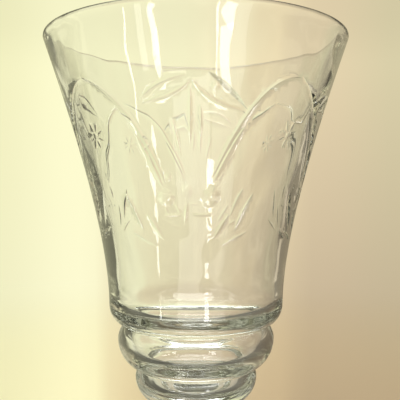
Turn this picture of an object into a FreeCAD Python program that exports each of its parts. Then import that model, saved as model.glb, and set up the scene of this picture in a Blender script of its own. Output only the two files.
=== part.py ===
import FreeCAD, Part
import math
import os

# Footed wine glass with a flared bowl, a stepped base of shrinking rings, a stem and a foot.
# Millimetres. +Z is up the axis of the glass, and the origin is the middle of the foot's
# underside, on the table. Each piece of glass is a solid of revolution, built from the table up.

# ---- driving dimensions ----

# foot: a shallow cone with a rounded edge, hollowed a little underneath
foot_radius = 36.0
foot_edge_radius = 1.4
foot_height = 14.0
foot_flare_slope = 9.0
foot_hollow_radius = 29.0
foot_hollow_rise = 2.2
foot_neck_radius = 8.4

# stem: a waisted column that carries the lowest ring
stem_column_length = 35.0
stem_waist_radius = 6.4
stem_waist_rise = 15.0
stem_head_radius = 8.6

# the rings, from the lowest and smallest to the highest and largest
ring_3_radius = 13.3
ring_3_height = 7.7
ring_3_crown_drop = 2.3
neck_3_radius = 12.4

ring_2_radius = 18.4
ring_2_height = 10.0
ring_2_crown_drop = 2.7
neck_2_radius = 17.0

ring_1_radius = 23.6
ring_1_height = 13.4
ring_1_crown_drop = 4.4
neck_1_radius = 21.4

# bowl: a rounded shoulder, a wall that rises upright and flares to the rim, and a rolled lip
shoulder_height = 6.1
shoulder_radius = 26.2
bowl_wall_height = 78.8
bowl_flare_height = 54.5
rim_radius = 44.7
lip_thickness = 2.2

# the hollow: its wall follows the bowl and the two upper rings, down to a round floor
bowl_wall = 3.1
ring_wall = 3.4
neck_wall = 2.8
hollow_turn_rise = 3.0
hollow_floor_thickness = 3.8

# ---- levels above the table ----

foot_weld_z = foot_height
neck_4_z = foot_weld_z + stem_column_length
neck_3_z = neck_4_z + ring_3_height
neck_2_z = neck_3_z + ring_2_height
neck_1_z = neck_2_z + ring_1_height
shoulder_z = neck_1_z + shoulder_height
rim_z = shoulder_z + bowl_wall_height


# ---- drawing helpers: a point is its distance from the axis and its height ----

def at(radius, z):
    return FreeCAD.Vector(radius, 0, z)


def line(start, end):
    return Part.LineSegment(start, end).toShape()


def curve(*poles):
    bezier = Part.BezierCurve()
    bezier.setPoles(list(poles))
    return bezier.toShape()


def upright_arc(outer, other):
    """Arc that stands upright at its outermost point and ends at a point nearer the axis."""
    across = outer.x - other.x
    rise = other.z - outer.z
    radius = (across ** 2 + rise ** 2) / (2 * across)
    half_turn = math.atan2(rise, radius - across) / 2
    middle = at(outer.x - radius + radius * math.cos(half_turn), outer.z + radius * math.sin(half_turn))
    return Part.Arc(outer, middle, other).toShape()


def ring_edges(lower_neck, upper_neck, ring_radius, crown_drop):
    """Outline of one ring, upwards: its rounded underside, then its rounded top."""
    crown = at(ring_radius, upper_neck.z - crown_drop)
    return [upright_arc(crown, lower_neck), upright_arc(crown, upper_neck)]


def wave(upper, lower):
    """Curve between two points of the hollow that stands upright at both."""
    middle = (upper.z + lower.z) / 2
    return curve(upper, at(upper.x, middle), at(lower.x, middle), lower)


def turned(edges):
    """Closed outline spun round the axis of the glass into a solid."""
    outline = Part.Wire(Part.__sortEdges__(edges))
    solid = Part.Face(outline).revolve(at(0, 0), FreeCAD.Vector(0, 0, 1), 360)
    return solid


# ---- places on the outline ----

neck_4 = at(stem_head_radius, neck_4_z)
neck_3 = at(neck_3_radius, neck_3_z)
neck_2 = at(neck_2_radius, neck_2_z)
neck_1 = at(neck_1_radius, neck_1_z)
shoulder = at(shoulder_radius, shoulder_z)
stem_foot = at(foot_neck_radius, foot_weld_z)

# the lip is half a circle across the wall, and leans outwards with the flare
flare = math.atan2(rim_radius - shoulder_radius, bowl_flare_height)
lip_radius = lip_thickness / 2
lip_centre = at(rim_radius - lip_radius, rim_z - lip_radius)
across_lip = at(math.cos(flare), -math.sin(flare)) * lip_radius
along_lip = at(math.sin(flare), math.cos(flare)) * lip_radius
lip_outside = lip_centre + across_lip
lip_inside = lip_centre - across_lip
lip_top = lip_centre + along_lip
flare_z = lip_centre.z - bowl_flare_height


def make_bowl():
    outer = [line(at(0, neck_3_z), neck_3)]
    outer += ring_edges(neck_3, neck_2, ring_2_radius, ring_2_crown_drop)
    outer += ring_edges(neck_2, neck_1, ring_1_radius, ring_1_crown_drop)
    outer.append(upright_arc(shoulder, neck_1))
    outer.append(curve(shoulder, at(shoulder_radius, flare_z), lip_outside))
    lip = Part.Arc(lip_outside, lip_top, lip_inside).toShape()

    # the hollow follows the outside: in at each neck, and out again at each ring
    floor = at(0, neck_3_z + hollow_floor_thickness)
    turns = [
        at(shoulder_radius - bowl_wall, shoulder_z + hollow_turn_rise),
        at(neck_1_radius - neck_wall, neck_1_z),
        at(ring_1_radius - ring_wall, neck_1_z - ring_1_crown_drop),
        at(neck_2_radius - neck_wall, neck_2_z),
        at(ring_2_radius - ring_wall, neck_2_z - ring_2_crown_drop),
    ]
    inner = [curve(lip_inside, at(turns[0].x, flare_z), turns[0])]
    for upper, lower in zip(turns, turns[1:]):
        inner.append(wave(upper, lower))
    inner.append(curve(turns[-1], at(turns[-1].x, floor.z), floor))
    axis = line(floor, at(0, neck_3_z))
    return turned(outer + [lip] + inner + [axis])


def make_stem():
    waist = at(stem_waist_radius, foot_weld_z + stem_waist_rise)
    lower_pull = at(0, stem_waist_rise / 2)
    upper_pull = at(0, (neck_4_z - waist.z) / 2)
    edges = [
        line(at(0, foot_weld_z), stem_foot),
        curve(stem_foot, waist - lower_pull, waist),
        curve(waist, waist + upper_pull, neck_4),
    ]
    edges += ring_edges(neck_4, neck_3, ring_3_radius, ring_3_crown_drop)
    edges.append(line(neck_3, at(0, neck_3_z)))
    edges.append(line(at(0, neck_3_z), at(0, foot_weld_z)))
    return turned(edges)


def make_foot():
    edge_centre = at(foot_radius - foot_edge_radius, foot_edge_radius)
    edge_bottom = edge_centre - at(0, foot_edge_radius)
    edge_top = edge_centre + at(0, foot_edge_radius)
    edge_outermost = edge_centre + at(foot_edge_radius, 0)
    hollow_edge = at(foot_hollow_radius, 0)
    hollow_top = at(0, foot_hollow_rise)
    flare_run = foot_radius - foot_neck_radius
    slope = math.tan(math.radians(foot_flare_slope))
    upper = curve(
        edge_top,
        edge_top + at(-flare_run / 2, slope * flare_run / 2),
        stem_foot - at(0, foot_height / 2),
        stem_foot,
    )
    edges = [
        line(hollow_edge, edge_bottom),
        Part.Arc(edge_bottom, edge_outermost, edge_top).toShape(),
        upper,
        line(stem_foot, at(0, foot_weld_z)),
        line(at(0, foot_weld_z), hollow_top),
        curve(hollow_top, at(foot_hollow_radius / 2, foot_hollow_rise), hollow_edge),
    ]
    return turned(edges)


os.makedirs("parts", exist_ok=True)
pieces = {"bowl": make_bowl(), "stem": make_stem(), "foot": make_foot()}
for name, shape in pieces.items():
    box = shape.BoundBox
    print(name, "valid", shape.isValid(), "solids", len(shape.Solids),
          "volume cm3", round(shape.Volume / 1000, 2),
          "z", round(box.ZMin, 2), round(box.ZMax, 2), "across", round(box.XLength, 2))
    shape.exportStep("parts/" + name + ".step")
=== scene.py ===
import math

import bpy
from mathutils import Matrix, Vector


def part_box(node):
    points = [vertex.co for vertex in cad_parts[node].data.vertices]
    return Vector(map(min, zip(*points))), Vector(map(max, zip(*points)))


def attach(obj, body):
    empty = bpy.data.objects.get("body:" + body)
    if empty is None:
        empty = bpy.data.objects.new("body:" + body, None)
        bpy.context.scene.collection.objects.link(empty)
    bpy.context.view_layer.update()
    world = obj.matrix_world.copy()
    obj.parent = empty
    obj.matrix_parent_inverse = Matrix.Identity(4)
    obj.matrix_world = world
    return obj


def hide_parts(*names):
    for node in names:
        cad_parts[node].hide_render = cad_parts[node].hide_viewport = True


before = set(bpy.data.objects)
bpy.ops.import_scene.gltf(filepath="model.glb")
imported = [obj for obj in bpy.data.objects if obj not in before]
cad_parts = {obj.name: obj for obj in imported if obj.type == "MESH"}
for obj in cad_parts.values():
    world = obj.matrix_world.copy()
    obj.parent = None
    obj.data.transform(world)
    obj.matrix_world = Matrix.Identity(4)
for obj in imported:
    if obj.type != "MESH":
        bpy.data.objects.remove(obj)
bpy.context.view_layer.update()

# Metres. The glass stands on the floor at the origin, and its axis is +Z.
MM = 0.001

# ---- sizes of the glass: the levels come from the frame, the rest is named here ----

RIM_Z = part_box("bowl")[1].z
FOOT_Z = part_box("foot")[1].z

RIM_RADIUS = 44.7 * MM
LIP_RADIUS = 1.1 * MM
FLARE_HEIGHT = 54.5 * MM
WALL_HEIGHT = 78.8 * MM
SHOULDER_RADIUS = 26.2 * MM
SHOULDER_HEIGHT = 6.1 * MM
BOWL_WALL = 3.1 * MM
RING_WALL = 3.4 * MM
NECK_WALL = 2.8 * MM
HOLLOW_TURN_RISE = 3.0 * MM
HOLLOW_FLOOR = 3.8 * MM

RING_1_RADIUS, RING_1_HEIGHT, RING_1_DROP = 23.6 * MM, 13.4 * MM, 4.4 * MM
RING_2_RADIUS, RING_2_HEIGHT, RING_2_DROP = 18.4 * MM, 10.0 * MM, 2.7 * MM
RING_3_RADIUS, RING_3_HEIGHT, RING_3_DROP = 13.3 * MM, 7.7 * MM, 2.3 * MM
NECK_1_RADIUS, NECK_2_RADIUS, NECK_3_RADIUS = 21.4 * MM, 17.0 * MM, 12.4 * MM

STEM_HEAD_RADIUS = 8.6 * MM
STEM_WAIST_RADIUS = 6.4 * MM
STEM_WAIST_RISE = 15.0 * MM
FOOT_NECK_RADIUS = 8.4 * MM
FOOT_RADIUS = 36.0 * MM
FOOT_EDGE_RADIUS = 1.4 * MM
FOOT_SLOPE = math.radians(9.0)
FOOT_HOLLOW_RADIUS = 29.0 * MM
FOOT_HOLLOW_RISE = 2.2 * MM

SHOULDER_Z = RIM_Z - WALL_HEIGHT
NECK_1_Z = SHOULDER_Z - SHOULDER_HEIGHT
NECK_2_Z = NECK_1_Z - RING_1_HEIGHT
NECK_3_Z = NECK_2_Z - RING_2_HEIGHT
NECK_4_Z = NECK_3_Z - RING_3_HEIGHT
LIP_CENTRE_Z = RIM_Z - LIP_RADIUS
FLARE_Z = LIP_CENTRE_Z - FLARE_HEIGHT

CREASE_RADIUS, CREASE_STEPS = 0.5 * MM, 4
# the pieces stay this far apart at the welds, and points closer than this are one point
WELD_GAP = 0.004 * MM
# two heights or places this close are the same
SAME_PLACE = 0.01 * MM

# points along each part of the outlines, and steps round the axis
RING_STEPS, LOWEST_RING_STEPS, SHOULDER_STEPS = 16, 14, 12
FLARE_STEPS, LIP_STEPS, INSIDE_STEPS, HOLLOW_STEPS = 64, 12, 48, 24
STEM_LOW_STEPS, STEM_HIGH_STEPS = 14, 16
FOOT_HOLLOW_STEPS, FOOT_EDGE_STEPS, FOOT_TOP_STEPS = 16, 10, 32
SPIN_STEPS = 240


# ---- outlines: each point is (distance from the axis, height) ----

def along(poles, t):
    """Point at share t of a line or curve, given by its ends and the poles that pull it between them."""
    points = [Vector(pole) for pole in poles]
    while len(points) > 1:
        points = [a.lerp(b, t) for a, b in zip(points, points[1:])]
    return points[0]


def curve_points(*poles, steps):
    """Points on a curve, without its first point."""
    return [tuple(along(poles, i / steps)) for i in range(1, steps + 1)]


def upright_arc(outer, other, steps):
    """Points on the arc that stands upright at its outermost point and ends nearer the axis."""
    across, rise = outer[0] - other[0], other[1] - outer[1]
    radius = (across ** 2 + rise ** 2) / (2 * across)
    turn = math.atan2(rise, radius - across)
    angles = [turn * i / steps for i in range(1, steps + 1)]
    return [(outer[0] - radius + radius * math.cos(a), outer[1] + radius * math.sin(a)) for a in angles]


def ring_points(lower, upper, ring_radius, drop, steps):
    """Outline of one ring, upwards from its lower neck to its upper neck."""
    crown = (ring_radius, upper[1] - drop)
    under = upright_arc(crown, lower, steps)
    top = upright_arc(crown, upper, steps // 2)
    return under[-2::-1] + [crown] + top


def spin_piece(name, outline, creases=()):
    """Draws an outline point by point, rounds its creases and spins it round into a closed shell."""
    bpy.ops.object.select_all(action="DESELECT")
    start = outline[0]
    bpy.ops.mesh.primitive_plane_add(size=MM, location=(start[0], 0, start[1]))
    piece = bpy.context.object
    piece.name = name
    bpy.ops.object.transform_apply(location=True)
    bpy.ops.object.mode_set(mode="EDIT")
    bpy.ops.mesh.merge(type="CENTER")
    here = start
    for there in outline[1:]:
        step = (there[0] - here[0], 0, there[1] - here[1])
        bpy.ops.mesh.extrude_region_move(TRANSFORM_OT_translate={"value": step})
        here = there
    if creases:
        bpy.ops.mesh.select_all(action="DESELECT")
        bpy.ops.object.mode_set(mode="OBJECT")
        for vertex in piece.data.vertices:
            place = (vertex.co.x, vertex.co.z)
            vertex.select = any(math.dist(place, crease) < SAME_PLACE for crease in creases)
        bpy.ops.object.mode_set(mode="EDIT")
        bpy.ops.mesh.bevel(offset=CREASE_RADIUS, segments=CREASE_STEPS, affect="VERTICES")
    bpy.ops.mesh.select_all(action="SELECT")
    bpy.ops.mesh.spin(steps=SPIN_STEPS, angle=2 * math.pi, center=(0, 0, 0), axis=(0, 0, 1))
    bpy.ops.mesh.select_all(action="SELECT")
    bpy.ops.mesh.remove_doubles(threshold=WELD_GAP)
    bpy.ops.mesh.normals_make_consistent(inside=False)
    bpy.ops.object.mode_set(mode="OBJECT")
    return piece


LIP_LEAN = math.atan2(RIM_RADIUS - SHOULDER_RADIUS, FLARE_HEIGHT)
LIP_CENTRE = (RIM_RADIUS - LIP_RADIUS, LIP_CENTRE_Z)
LIP_ACROSS, LIP_RISE = LIP_RADIUS * math.cos(LIP_LEAN), LIP_RADIUS * math.sin(LIP_LEAN)
LIP_OUTSIDE = (LIP_CENTRE[0] + LIP_ACROSS, LIP_CENTRE[1] - LIP_RISE)
LIP_INSIDE = (LIP_CENTRE[0] - LIP_ACROSS, LIP_CENTRE[1] + LIP_RISE)


def bowl_outline():
    neck_3 = (NECK_3_RADIUS, NECK_3_Z + WELD_GAP)
    neck_2, neck_1 = (NECK_2_RADIUS, NECK_2_Z), (NECK_1_RADIUS, NECK_1_Z)
    shoulder = (SHOULDER_RADIUS, SHOULDER_Z)
    points = [(0, neck_3[1]), neck_3]
    points += ring_points(neck_3, neck_2, RING_2_RADIUS, RING_2_DROP, RING_STEPS)
    points += ring_points(neck_2, neck_1, RING_1_RADIUS, RING_1_DROP, RING_STEPS)
    points += upright_arc(shoulder, neck_1, SHOULDER_STEPS)[-2::-1] + [shoulder]
    points += curve_points(shoulder, (SHOULDER_RADIUS, FLARE_Z), LIP_OUTSIDE, steps=FLARE_STEPS)
    for i in range(1, LIP_STEPS + 1):
        turn = math.pi * i / LIP_STEPS - LIP_LEAN
        points.append((LIP_CENTRE[0] + LIP_RADIUS * math.cos(turn),
                       LIP_CENTRE[1] + LIP_RADIUS * math.sin(turn)))
    wall_foot = (SHOULDER_RADIUS - BOWL_WALL, SHOULDER_Z + HOLLOW_TURN_RISE)
    points += curve_points(LIP_INSIDE, (wall_foot[0], FLARE_Z), wall_foot, steps=INSIDE_STEPS)
    hollow = [wall_foot,
              (NECK_1_RADIUS - NECK_WALL, NECK_1_Z),
              (RING_1_RADIUS - RING_WALL, NECK_1_Z - RING_1_DROP),
              (NECK_2_RADIUS - NECK_WALL, NECK_2_Z),
              (RING_2_RADIUS - RING_WALL, NECK_2_Z - RING_2_DROP)]
    for upper, lower in zip(hollow, hollow[1:]):
        middle = (upper[1] + lower[1]) / 2
        points += curve_points(upper, (upper[0], middle), (lower[0], middle), lower, steps=HOLLOW_STEPS)
    floor = (0, NECK_3_Z + HOLLOW_FLOOR)
    points += curve_points(hollow[-1], (hollow[-1][0], floor[1]), floor, steps=HOLLOW_STEPS)
    return points, [neck_2, neck_1]


def stem_outline():
    neck_3, neck_4 = (NECK_3_RADIUS, NECK_3_Z), (STEM_HEAD_RADIUS, NECK_4_Z)
    stem_foot = (FOOT_NECK_RADIUS, FOOT_Z + WELD_GAP)
    waist = (STEM_WAIST_RADIUS, FOOT_Z + STEM_WAIST_RISE)
    points = [(0, stem_foot[1]), stem_foot]
    points += curve_points(stem_foot, (STEM_WAIST_RADIUS, waist[1] - STEM_WAIST_RISE / 2), waist,
                           steps=STEM_LOW_STEPS)
    points += curve_points(waist, (STEM_WAIST_RADIUS, (waist[1] + NECK_4_Z) / 2), neck_4,
                           steps=STEM_HIGH_STEPS)
    points += ring_points(neck_4, neck_3, RING_3_RADIUS, RING_3_DROP, LOWEST_RING_STEPS)
    points.append((0, NECK_3_Z))
    return points, [neck_4]


def foot_outline():
    stem_foot = (FOOT_NECK_RADIUS, FOOT_Z)
    edge = (FOOT_RADIUS - FOOT_EDGE_RADIUS, FOOT_EDGE_RADIUS)
    run = (FOOT_RADIUS - FOOT_NECK_RADIUS) / 2
    points = [(0, FOOT_HOLLOW_RISE)]
    points += curve_points(points[0], (FOOT_HOLLOW_RADIUS / 2, FOOT_HOLLOW_RISE), (FOOT_HOLLOW_RADIUS, 0),
                           steps=FOOT_HOLLOW_STEPS)
    for i in range(FOOT_EDGE_STEPS + 1):
        turn = math.pi * i / FOOT_EDGE_STEPS
        points.append((edge[0] + FOOT_EDGE_RADIUS * math.sin(turn),
                       edge[1] - FOOT_EDGE_RADIUS * math.cos(turn)))
    top = points[-1]
    points += curve_points(top, (top[0] - run, top[1] + run * math.tan(FOOT_SLOPE)),
                           (FOOT_NECK_RADIUS, FOOT_Z / 2), stem_foot, steps=FOOT_TOP_STEPS)
    points.append((0, FOOT_Z))
    return points, []


# ---- cutting: V-edged and ball-edged tools that bite into the wall, taken away all at once ----

V_HALF_ANGLE = math.radians(68)
TOOL_CLEAR = 0.5 * MM
TOOL_LIFT = 0.06 * MM
TOOL_LENGTHS = 28
LOOK_AHEAD = 0.01
# degrees and millimetres to each side of a place, from which the wall's slope there is told
FEEL = 0.5
BALL_SEGMENTS, BALL_RINGS = 64, 32


def wall_radius(z):
    """Outer radius of the flared wall at a height."""
    top = LIP_OUTSIDE[1]
    a, b, c = SHOULDER_Z - 2 * FLARE_Z + top, 2 * (FLARE_Z - SHOULDER_Z), SHOULDER_Z - z
    t = (-b + math.sqrt(b * b - 4 * a * c)) / (2 * a)
    return SHOULDER_RADIUS + t * t * (LIP_OUTSIDE[0] - SHOULDER_RADIUS)


def on_wall(turn, drop):
    """Point on the bowl's outside: degrees to the right of the front, and millimetres below the rim."""
    z = RIM_Z - drop * MM
    radius, angle = wall_radius(z), math.radians(turn)
    return Vector((radius * math.sin(angle), -radius * math.cos(angle), z))


def wall_normal(turn, drop):
    """Straight out from the wall at a place on it."""
    across = on_wall(turn + FEEL, drop) - on_wall(turn - FEEL, drop)
    up = on_wall(turn, drop - FEEL) - on_wall(turn, drop + FEEL)
    return across.cross(up).normalized()


def mitre_cut(turned, route, width, taper=2.0):
    """A V-edged bar along a route on the wall: it dives in, cuts as wide as stated, and lifts out."""
    bpy.ops.object.select_all(action="DESELECT")
    bpy.ops.mesh.primitive_cylinder_add(vertices=3, radius=1, depth=1)
    bar = bpy.context.object
    bpy.ops.object.mode_set(mode="EDIT")
    bpy.ops.mesh.select_all(action="DESELECT")
    bpy.ops.object.mode_set(mode="OBJECT")
    for edge in bar.data.edges:
        ends = [bar.data.vertices[i].co.z for i in edge.vertices]
        lengthwise = abs(ends[0] - ends[1]) > 0.5
        edge.select = lengthwise
    bpy.ops.object.mode_set(mode="EDIT")
    bpy.ops.mesh.subdivide(number_cuts=TOOL_LENGTHS - 1)
    bpy.ops.object.mode_set(mode="OBJECT")
    deepest = width * MM / 2 / math.tan(V_HALF_ANGLE)
    for vertex in bar.data.vertices:
        t = vertex.co.z + 0.5
        turn, drop = along(route, t)
        turn += turned
        ahead = along(route, min(t + LOOK_AHEAD, 1)) - along(route, max(t - LOOK_AHEAD, 0))
        heading = on_wall(turn + ahead.x, drop + ahead.y) - on_wall(turn, drop)
        out = wall_normal(turn, drop)
        side = out.cross(heading).normalized()
        depth = (deepest + TOOL_LIFT) * (1 - abs(2 * t - 1) ** taper) - TOOL_LIFT
        cutting_edge = vertex.co.y > 0.9
        if cutting_edge:
            vertex.co = on_wall(turn, drop) - out * depth
        else:
            reach = (depth + TOOL_CLEAR) * math.tan(V_HALF_ANGLE)
            hand = 1 if vertex.co.x > 0 else -1
            vertex.co = on_wall(turn, drop) + out * TOOL_CLEAR + side * reach * hand
    bpy.ops.object.mode_set(mode="EDIT")
    bpy.ops.mesh.select_all(action="SELECT")
    bpy.ops.mesh.normals_make_consistent(inside=False)
    bpy.ops.object.mode_set(mode="OBJECT")
    return bar


def ball_cut(turned, place, radius, depth):
    """A ball that polishes a round hollow of the stated radius and depth into the wall."""
    turn, drop = place[0] + turned, place[1]
    ball = (radius ** 2 + depth ** 2) / (2 * depth) * MM
    centre = on_wall(turn, drop) + wall_normal(turn, drop) * (ball - depth * MM)
    bpy.ops.mesh.primitive_uv_sphere_add(segments=BALL_SEGMENTS, ring_count=BALL_RINGS, radius=ball,
                                         location=centre)
    return bpy.context.object


# One repeat of the pattern, a quarter of the way round. Each cut has a route of (turn, drop) points, a
# width and a taper. Turns are degrees from the middle of the repeat, and drops are millimetres below the
# rim. Widths are millimetres, and a higher taper keeps the groove deep for longer.
SWAGS = [
    ([(46, 16.0), (29, 16), (20, 29), (9.8, 41.8)], 1.9, 5.0),
    ([(-45, 15.6), (-30, 19), (-19, 29.5), (-10.8, 43.6)], 1.9, 5.0),
    ([(22.8, 28.6), (17.5, 34.5), (10.8, 42.6)], 1.7, 4.0),
    ([(-22.6, 30.2), (-17.6, 36.2), (-12.0, 44.2)], 1.5, 4.0),
]
LEAVES = [
    ([(1.2, 17.8), (5.4, 23.4), (23.2, 25.6)], 1.5, 2.0),
    ([(6.4, 16.2), (14.3, 19.3), (23.6, 25.4)], 1.5, 2.0),
    ([(0.6, 17.0), (-11.7, 18.0), (-18.6, 22.8)], 1.5, 2.0),
    ([(1.0, 18.0), (-2.7, 21.8), (-18.4, 23.2)], 1.5, 2.0),
]
STALKS = [
    ([(0.9, 18.8), (0.6, 33.6)], 1.3, 2.4),
    ([(4.8, 23.6), (5.0, 32.0)], 1.0, 2.0),
    ([(-6.6, 26.2), (-3.0, 36.6)], 0.9, 2.0),
    ([(-1.1, 47.4), (-2.5, 53.2)], 1.2, 2.0),
    ([(-13.2, 50.9), (-3.4, 50.9)], 1.0, 2.4),
    ([(1.6, 50.9), (10.6, 50.7)], 1.0, 2.4),
]
SPRAYS = [
    ([(19.8, 50.2), (11.6, 57.3)], 1.5, 2.0),
    ([(31.0, 44.9), (22.2, 55.3)], 1.6, 2.0),
    ([(30.4, 55.2), (14.8, 59.1)], 0.9, 2.0),
    ([(-21.8, 50.4), (-13.6, 57.5)], 1.5, 2.0),
    ([(-33.0, 45.1), (-24.2, 55.5)], 1.6, 2.0),
    ([(-32.4, 55.4), (-16.8, 59.3)], 0.9, 2.0),
]
# round hollows: place, radius and depth
PUNTIES = [
    ((9.9, 46.2), 2.5, 0.35),
    ((-11.0, 46.5), 2.5, 0.35),
    ((10.0, 19.6), 1.2, 0.18),
    ((-9.3, 41.2), 0.8, 0.14),
]
DAISY_PLACE = (45, 30.5)
DAISY_PETALS = 8
DAISY_INNER, DAISY_OUTER = 0.9, 3.6
PETAL_WIDTH, PETAL_TAPER = 0.5, 2.0
DAISY_EYE = (DAISY_PLACE, 0.8, 0.15)
REPEATS = 4
# the whole pattern sits this many degrees to the left of the front
PATTERN_LEFT = 3.0


def daisy_petals():
    """Short cuts round a small hollow, between two swags."""
    degrees_per_mm = math.degrees(MM / wall_radius(RIM_Z - DAISY_PLACE[1] * MM))
    petals = []
    for i in range(DAISY_PETALS):
        lean = 2 * math.pi * (i + 0.5) / DAISY_PETALS
        turn, drop = math.cos(lean) * degrees_per_mm, math.sin(lean)
        ends = [(DAISY_PLACE[0] + reach * turn, DAISY_PLACE[1] + reach * drop)
                for reach in (DAISY_INNER, DAISY_OUTER)]
        petals.append((ends, PETAL_WIDTH, PETAL_TAPER))
    return petals


def cut_pattern(bowl):
    """Sinks the whole pattern into the bowl's wall, and clears the tools away."""
    tools = []
    for repeat in range(REPEATS):
        turned = 360 / REPEATS * repeat - PATTERN_LEFT
        for route, width, taper in SWAGS + LEAVES + STALKS + SPRAYS + daisy_petals():
            tools.append(mitre_cut(turned, route, width, taper))
        for place, radius, depth in PUNTIES + [DAISY_EYE]:
            tools.append(ball_cut(turned, place, radius, depth))
    rack = bpy.data.collections.new("cutting_tools")
    bpy.context.scene.collection.children.link(rack)
    for tool in tools:
        for holder in list(tool.users_collection):
            holder.objects.unlink(tool)
        rack.objects.link(tool)
    bpy.ops.object.select_all(action="DESELECT")
    bowl.select_set(True)
    bpy.context.view_layer.objects.active = bowl
    cut = bowl.modifiers.new("cutting", "BOOLEAN")
    cut.operation = "DIFFERENCE"
    cut.solver = "MANIFOLD"
    cut.operand_type = "COLLECTION"
    cut.collection = rack
    bpy.ops.object.modifier_apply(modifier="cutting")
    for tool in tools:
        bpy.data.objects.remove(tool)
    bpy.data.collections.remove(rack)


# ---- materials ----

# the waves are a centimetre or two across, and a little taller than they are wide
WAVE_STRETCH = (1.0, 1.0, 0.7)
WAVE_START = (0.31, 0.12, 0.05)
WAVE_SCALE, WAVE_DETAIL = 45.0, 1.5
WAVE_HEIGHT = 1.1 * MM
# worn patches are a touch rougher than the polished glass between them
WEAR_SCALE, WEAR_DETAIL = 260.0, 4.0
WEAR_START, WEAR_FULL = 0.45, 0.75
WEAR_ROUGHNESS = 0.05
GLASS_COLOUR = (0.990, 0.993, 0.985, 1)
GLASS_IOR = 1.5
# thick glass turns faintly green
TINT_COLOUR = (0.63, 0.67, 0.55, 1)
TINT_DENSITY = 12.0
# edges that turn less than this look rounded, and a face whose normal rises this much is level
SMOOTH_BELOW = math.radians(30)
LEVEL_NORMAL = 0.999


def new_material(name):
    material = bpy.data.materials.new(name)
    material.use_nodes = True
    material.node_tree.nodes.clear()
    return material


def feed(tree, socket, value):
    """Links an output to a socket, or sets the socket to a number or colour."""
    if isinstance(value, bpy.types.NodeSocket):
        tree.links.new(value, socket)
    else:
        socket.default_value = value


def add_node(tree, kind, inputs=None, **settings):
    """Adds a node with its settings, and feeds its inputs."""
    node = tree.nodes.new("ShaderNode" + kind)
    for name, value in settings.items():
        setattr(node, name, value)
    for name, value in (inputs or {}).items():
        feed(tree, node.inputs[name], value)
    return node


def scaled(tree, value, low, high, smooth=False, start=0.0, end=1.0):
    """Where a value lies between two others, from start to end."""
    span = {"Value": value, "From Min": low, "From Max": high, "To Min": start, "To Max": end}
    kind = "SMOOTHSTEP" if smooth else "LINEAR"
    return add_node(tree, "MapRange", span, interpolation_type=kind).outputs["Result"]


def clear_glass():
    """Clear soda glass: fire-polished, with upright waves left by blowing and small worn patches."""
    material = new_material("clear_glass")
    tree = material.node_tree
    place = add_node(tree, "TexCoord").outputs["Object"]
    stretched = add_node(tree, "Mapping", {"Vector": place, "Scale": WAVE_STRETCH, "Location": WAVE_START})
    waves = add_node(tree, "TexNoise",
                     {"Vector": stretched.outputs["Vector"], "Scale": WAVE_SCALE, "Detail": WAVE_DETAIL})
    surface = add_node(tree, "Bump",
                       {"Strength": 1.0, "Distance": WAVE_HEIGHT, "Height": waves.outputs["Fac"]})
    wear = add_node(tree, "TexNoise", {"Vector": place, "Scale": WEAR_SCALE, "Detail": WEAR_DETAIL})
    bloom = scaled(tree, wear.outputs["Fac"], WEAR_START, WEAR_FULL, end=WEAR_ROUGHNESS)
    glass = add_node(tree, "BsdfPrincipled",
                     {"Base Color": GLASS_COLOUR, "IOR": GLASS_IOR, "Transmission Weight": 1.0,
                      "Roughness": bloom, "Normal": surface.outputs["Normal"]})
    # inside a weld there is only more glass, so weld faces let light straight through
    welded = add_node(tree, "Attribute", attribute_name="weld")
    through = add_node(tree, "BsdfTransparent")
    surface_or_weld = add_node(tree, "MixShader",
                               {"Fac": welded.outputs["Fac"], 1: glass.outputs["BSDF"],
                                2: through.outputs["BSDF"]})
    tint = add_node(tree, "VolumeAbsorption", {"Color": TINT_COLOUR, "Density": TINT_DENSITY})
    add_node(tree, "OutputMaterial", {"Surface": surface_or_weld.outputs["Shader"],
                                      "Volume": tint.outputs["Volume"]})
    return material


CLEAR = clear_glass()


def finish_glass(piece, node, weld_levels):
    """Glass all over, weld faces marked, smooth shading, and the piece stands for its CAD node."""
    piece.data.materials.clear()
    piece.data.materials.append(CLEAR)
    marks = []
    for polygon in piece.data.polygons:
        polygon.material_index = 0
        level_face = abs(polygon.normal.z) > LEVEL_NORMAL
        at_weld = any(abs(polygon.center.z - level) < SAME_PLACE for level in weld_levels)
        marks.append(float(level_face and at_weld))
    piece.data.attributes.new("weld", "FLOAT", "FACE").data.foreach_set("value", marks)
    bpy.ops.object.select_all(action="DESELECT")
    piece.select_set(True)
    bpy.context.view_layer.objects.active = piece
    bpy.ops.object.shade_smooth_by_angle(angle=SMOOTH_BELOW)
    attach(piece, "root")
    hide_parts(node)


def build_glass():
    bowl = spin_piece("goblet_bowl", *bowl_outline())
    cut_pattern(bowl)
    finish_glass(bowl, "bowl", [NECK_3_Z])
    stem = spin_piece("goblet_stem", *stem_outline())
    finish_glass(stem, "stem", [NECK_3_Z, FOOT_Z])
    foot = spin_piece("goblet_foot", *foot_outline())
    finish_glass(foot, "foot", [FOOT_Z])


# ---- studio ----

EYE = (0, -177.6 * MM, RIM_Z - 42.7 * MM)
LENS, SENSOR_WIDTH = 52.56, 36
NEAREST_SEEN = 0.01
AIM_DOWN, AIM_RIGHT = math.radians(1.667385739), math.radians(0.392430709)


def add_camera():
    """Eye level with the upper bowl, with the axis of the glass a little left of the middle."""
    camera_data = bpy.data.cameras.new("camera")
    camera_data.sensor_width = SENSOR_WIDTH
    camera_data.lens = LENS
    camera_data.clip_start = NEAREST_SEEN
    camera = bpy.data.objects.new("camera", camera_data)
    bpy.context.scene.collection.objects.link(camera)
    camera.location = EYE
    camera.rotation_euler = (math.pi / 2 - AIM_DOWN, 0, -AIM_RIGHT)
    bpy.context.scene.camera = camera


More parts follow.
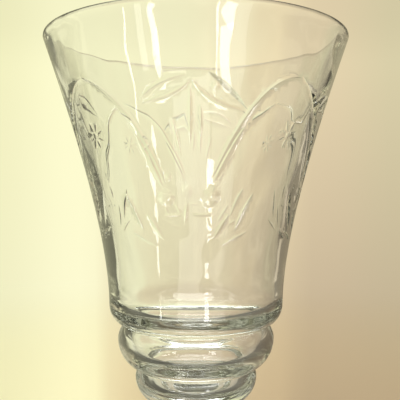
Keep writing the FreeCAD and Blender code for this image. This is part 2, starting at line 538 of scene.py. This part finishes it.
FLOOR_RADIUS, FLOOR_SIDES = 1.1, 128
SWEEP_RADIUS, SWEEP_STEPS = 0.5, 12
WALL_RISE = 1.2


def add_studio():
    """Pale floor that curves up all round into a pale wall: cream on the left, light tan on the right."""
    bpy.ops.object.select_all(action="DESELECT")
    bpy.ops.mesh.primitive_circle_add(vertices=FLOOR_SIDES, radius=FLOOR_RADIUS, fill_type="NGON")
    tent = bpy.context.object
    tent.name = "studio_tent"
    bpy.ops.object.mode_set(mode="EDIT")
    turns = [math.pi / 2 * i / SWEEP_STEPS for i in range(SWEEP_STEPS + 1)]
    rings = [(FLOOR_RADIUS + SWEEP_RADIUS * math.sin(turn), -SWEEP_RADIUS * math.cos(turn))
             for turn in turns]
    for before, ring in zip(rings, rings[1:]):
        spread, rise = ring[0] / before[0], ring[1] - before[1]
        bpy.ops.mesh.extrude_region_move(TRANSFORM_OT_translate={"value": (0, 0, rise)})
        bpy.ops.transform.resize(value=(spread, spread, 1))
    bpy.ops.mesh.extrude_region_move(TRANSFORM_OT_translate={"value": (0, 0, WALL_RISE)})
    bpy.ops.mesh.delete(type="ONLY_FACE")
    bpy.ops.object.mode_set(mode="OBJECT")
    bpy.ops.object.shade_smooth()
    tent.data.materials.append(studio_paint())


# Tones of the studio seen from the camera's place: degrees to the right of straight ahead, and colour.
# The upper tones belong to the wall, and the lower ones to the floor, where their darker tones straight
# ahead and to the right are partly painted shade.
UPPER_TONES = [
    (-180, (0.90, 0.87, 0.70)),
    (-60, (0.92, 0.90, 0.65)),
    (-19.5, (0.90, 0.88, 0.54)),
    (-12, (1.00, 0.98, 0.63)),
    (-2, (1.00, 0.96, 0.63)),
    (4, (1.00, 0.91, 0.60)),
    (8, (0.90, 0.76, 0.48)),
    (12, (0.79, 0.66, 0.43)),
    (19.5, (0.70, 0.63, 0.40)),
    (60, (0.80, 0.72, 0.54)),
    (180, (0.90, 0.87, 0.70)),
]
LOWER_TONES = [
    (-180, (0.90, 0.87, 0.70)),
    (-60, (0.90, 0.88, 0.65)),
    (-19.5, (0.87, 0.85, 0.56)),
    (-10.5, (0.98, 0.95, 0.65)),
    (-7.5, (0.78, 0.66, 0.43)),
    (-4, (0.67, 0.55, 0.35)),
    (0, (0.64, 0.51, 0.33)),
    (7.5, (0.57, 0.445, 0.295)),
    (11, (0.475, 0.37, 0.253)),
    (19.5, (0.478, 0.369, 0.251)),
    (60, (0.74, 0.64, 0.48)),
    (180, (0.90, 0.87, 0.70)),
]
# rise over level distance, above and below which one set of tones holds alone
UPPER_SLOPE, LOWER_SLOPE = 0.20, -0.42
# in front of the glass the studio is one plain tone
FRONT_TONE = (0.90, 0.87, 0.70, 1)
FRONT_END, TONES_START = -0.06, 0.14
# near the glass the floor is plain matt paint, which keeps the shadow; further out it glows evenly
MATT_REACH, GLOW_REACH = 0.14, 0.55
# under and around the foot the glow carries a painted shadow, such as the glass would cast
SHADE_REACH, SHADE_END, FOOT_SHADE = 0.030, 0.090, 0.70
# high up the wall the paint darkens a little, a painted fall-off of the light
FALL_OFF_START, FALL_OFF_END, FALL_OFF = 0.17, 0.28, 0.93
# light that the glass has mirrored inside finds the paint darkened, a painted dim room with painted bright
# patches in it
DIM_LEFT, DIM_RIGHT_HIGH, DIM_RIGHT_LOW = 0.14, 0.60, 0.26
SIDE_REACH = 0.2
PATCH_SCALE, PATCH_DETAIL = 3.0, 2.0
PATCH_START, PATCH_FULL = 0.50, 0.60
# what the outside of the glass mirrors is painted dimmer too
OUTSIDE_DIM = 0.6


def tone_ramp(tree, share, tones):
    """Colour ramp through the tones, from behind the left shoulder round to behind the right one."""
    ramp_node = add_node(tree, "ValToRGB", {"Fac": share})
    ramp = ramp_node.color_ramp
    ramp.interpolation = "EASE"
    while len(ramp.elements) < len(tones):
        ramp.elements.new(0.5)
    for element, (degrees, colour) in zip(ramp.elements, tones):
        element.position = degrees / 360 + 0.5
        element.color = (*colour, 1)
    return ramp_node.outputs["Color"]


def calculated(tree, operation, first, second=0.0):
    return add_node(tree, "Math", {0: first, 1: second}, operation=operation).outputs["Value"]


def between(tree, share, first, second):
    """Number between two numbers."""
    return add_node(tree, "Mix", {"Factor": share, "A": first, "B": second}).outputs["Result"]


def blended(tree, share, first, second):
    """Colour between two colours."""
    colours = {"Factor": share, "A": first, "B": second}
    return add_node(tree, "Mix", colours, data_type="RGBA").outputs["Result"]


def times(tree, colour, share):
    return add_node(tree, "VectorMath", {0: colour, "Scale": share}, operation="SCALE").outputs["Vector"]


def length_across(tree, split):
    """Level distance: the length of the X and Y parts."""
    squares = [calculated(tree, "MULTIPLY", split.outputs[k], split.outputs[k]) for k in ("X", "Y")]
    return calculated(tree, "SQRT", calculated(tree, "ADD", *squares))


def studio_paint():
    """Paint whose tones run round the compass and down from the wall to the floor, laid out from one fixed
    place in front of the glass. It holds painted shade: darker floor tones, a fall-off high on the wall
    and a shadow round the foot. Light that the glass has mirrored finds it painted dimmer, with painted
    bright patches."""
    material = new_material("studio_paint")
    tree = material.node_tree
    place = add_node(tree, "TexCoord").outputs["Object"]
    path = add_node(tree, "LightPath").outputs

    from_eye = add_node(tree, "VectorMath", {0: place, 1: EYE}, operation="SUBTRACT").outputs["Vector"]
    eye_split = add_node(tree, "SeparateXYZ", {"Vector": from_eye})
    compass = calculated(tree, "ARCTAN2", eye_split.outputs["X"], eye_split.outputs["Y"])
    turn = scaled(tree, compass, -math.pi, math.pi)
    slope = calculated(tree, "DIVIDE", eye_split.outputs["Z"], length_across(tree, eye_split))
    lower = scaled(tree, slope, UPPER_SLOPE, LOWER_SLOPE)
    tones = blended(tree, lower, tone_ramp(tree, turn, UPPER_TONES), tone_ramp(tree, turn, LOWER_TONES))
    # painted fall-off of the light high up the wall
    fall_off = scaled(tree, slope, FALL_OFF_START, FALL_OFF_END, smooth=True, start=1.0, end=FALL_OFF)

    glass_split = add_node(tree, "SeparateXYZ", {"Vector": place})
    away = length_across(tree, glass_split)
    behind = scaled(tree, glass_split.outputs["Y"], FRONT_END, TONES_START, smooth=True)
    painted = blended(tree, behind, FRONT_TONE, times(tree, tones, fall_off))

    # painted shade and painted bright patches, which only light mirrored inside the glass finds
    right_side = scaled(tree, compass, -SIDE_REACH, SIDE_REACH)
    dim_right = scaled(tree, lower, 0, 1, start=DIM_RIGHT_HIGH, end=DIM_RIGHT_LOW)
    dim = between(tree, right_side, DIM_LEFT, dim_right)
    noise = add_node(tree, "TexNoise", {"Vector": place, "Scale": PATCH_SCALE, "Detail": PATCH_DETAIL})
    patch = scaled(tree, noise.outputs["Fac"], PATCH_START, PATCH_FULL, smooth=True)
    dimmed = times(tree, painted, between(tree, patch, dim, 1.0))
    bounced = scaled(tree, path["Glossy Depth"], 0, 1)
    turned_inside = calculated(tree, "MULTIPLY", bounced, path["Is Transmission Ray"])
    # painted dimming of what the outside of the glass mirrors
    outside = scaled(tree, path["Is Reflection Ray"], 0, 1, start=1.0, end=OUTSIDE_DIM)
    # painted shadow of the glass under and around the foot
    shade = scaled(tree, away, SHADE_REACH, SHADE_END, smooth=True, start=FOOT_SHADE, end=1.0)
    colour = times(tree, times(tree, blended(tree, turned_inside, painted, dimmed), outside), shade)

    matt = add_node(tree, "BsdfDiffuse", {"Color": painted})
    glow = add_node(tree, "Emission", {"Color": colour})
    reach = scaled(tree, away, MATT_REACH, GLOW_REACH, smooth=True)
    plain = calculated(tree, "MULTIPLY", path["Is Camera Ray"], reach)
    by_glass = calculated(tree, "MAXIMUM", path["Is Glossy Ray"], path["Is Transmission Ray"])
    glowing = calculated(tree, "MAXIMUM", plain, by_glass)
    mix = add_node(tree, "MixShader",
                   {"Fac": glowing, 1: matt.outputs["BSDF"], 2: glow.outputs["Emission"]})
    add_node(tree, "OutputMaterial", {"Surface": mix.outputs["Shader"]})
    return material


def add_lamp(name, top, bottom, aim, width, brightness):
    """A soft rectangular lamp that stretches from one point to another and faces the aim."""
    top, bottom, aim = Vector(top), Vector(bottom), Vector(aim)
    light = bpy.data.lights.new(name, "AREA")
    light.shape = "RECTANGLE"
    light.size = width
    light.size_y = (top - bottom).length
    light.energy = brightness * math.pi * light.size * light.size_y
    lamp = bpy.data.objects.new(name, light)
    bpy.context.scene.collection.objects.link(lamp)
    lamp.location = (top + bottom) / 2
    upright = (top - bottom).normalized()
    back = (lamp.location - aim) - (lamp.location - aim).project(upright)
    back.normalize()
    lamp.rotation_euler = Matrix((upright.cross(back), upright, back)).transposed().to_euler()
    return lamp


# Lamps in front of the glass, to its left and right, which only draw highlights on it. Each has a width,
# a brightness and the points that it runs through from the top, with all lengths in millimetres.
STRIPS = {
    "left_high": (15, 9.0, [(-85, -182, 129), (-99, -175, 106), (-98, -176, 90), (-90, -180, 70)]),
    "left_soft": (16, 2.6, [(-118, -160, 130), (-122, -156, 84)]),
    "left_far": (4, 9.0, [(-146, -134, 125), (-150, -128, 60)]),
    "left_low": (11, 9.0, [(-112, -162, 62), (-132, -134, 37)]),
    "right_high": (21, 8.0, [(80, -185, 130), (71, -185, 100), (77, -185, 68)]),
    "right_edge": (4, 9.0, [(57, -188, 130), (54, -188, 75)]),
    "right_soft": (62, 1.5, [(88, -188, 131), (88, -188, 64)]),
    "right_low": (19, 11.0, [(43, -195, 41), (42, -195, 26.5)]),
    "bulb_high": (18, 11.0, [(42, -195, 25.2), (42, -195, 23.8)]),
    "bulb_middle": (18, 11.0, [(42, -195, 22.6), (42, -195, 21.6)]),
    "bulb_low": (16, 11.0, [(42, -195, 20.4), (42, -195, 19.4)]),
    "window": (110, 2.0, [(-15, -197, 72), (-15, -197, 19)]),
    "window_right": (80, 1.2, [(84, -190, 62), (84, -190, 15)]),
}
STRIP_AIM = (0, 0, 0.1)
OVERHEAD_SIZE, OVERHEAD_Y, OVERHEAD_Z, OVERHEAD_BRIGHTNESS = 0.8, 0.1, 1.2, 5.0
ROOM_COLOUR, ROOM_STRENGTH = (0.8, 0.78, 0.7, 1), 0.5


def add_lights():
    """One large soft lamp overhead lights everything, and strip lamps draw highlights on the glass."""
    half = OVERHEAD_SIZE / 2
    add_lamp("overhead", (0, OVERHEAD_Y + half, OVERHEAD_Z), (0, OVERHEAD_Y - half, OVERHEAD_Z),
             (0, OVERHEAD_Y, 0), OVERHEAD_SIZE, OVERHEAD_BRIGHTNESS)
    for name, (width, brightness, route) in STRIPS.items():
        points = [Vector(point) * MM for point in route]
        for top, bottom in zip(points, points[1:]):
            strip = add_lamp(name, top, bottom, STRIP_AIM, width * MM, brightness)
            strip.visible_camera = False
            strip.visible_diffuse = False
            strip.visible_transmission = False
    world = bpy.data.worlds.new("room")
    world.use_nodes = True
    background = world.node_tree.nodes["Background"]
    background.inputs["Color"].default_value = ROOM_COLOUR
    background.inputs["Strength"].default_value = ROOM_STRENGTH
    bpy.context.scene.world = world


# light turns many times inside the thick rings before it leaves them
MOST_BOUNCES, MOST_GLASS_BOUNCES = 24, 16
bpy.context.scene.cycles.max_bounces = MOST_BOUNCES
bpy.context.scene.cycles.glossy_bounces = MOST_GLASS_BOUNCES
bpy.context.scene.cycles.transmission_bounces = MOST_GLASS_BOUNCES

build_glass()
add_studio()
add_lights()
add_camera()
bpy.context.scene.view_settings.view_transform = "Standard"
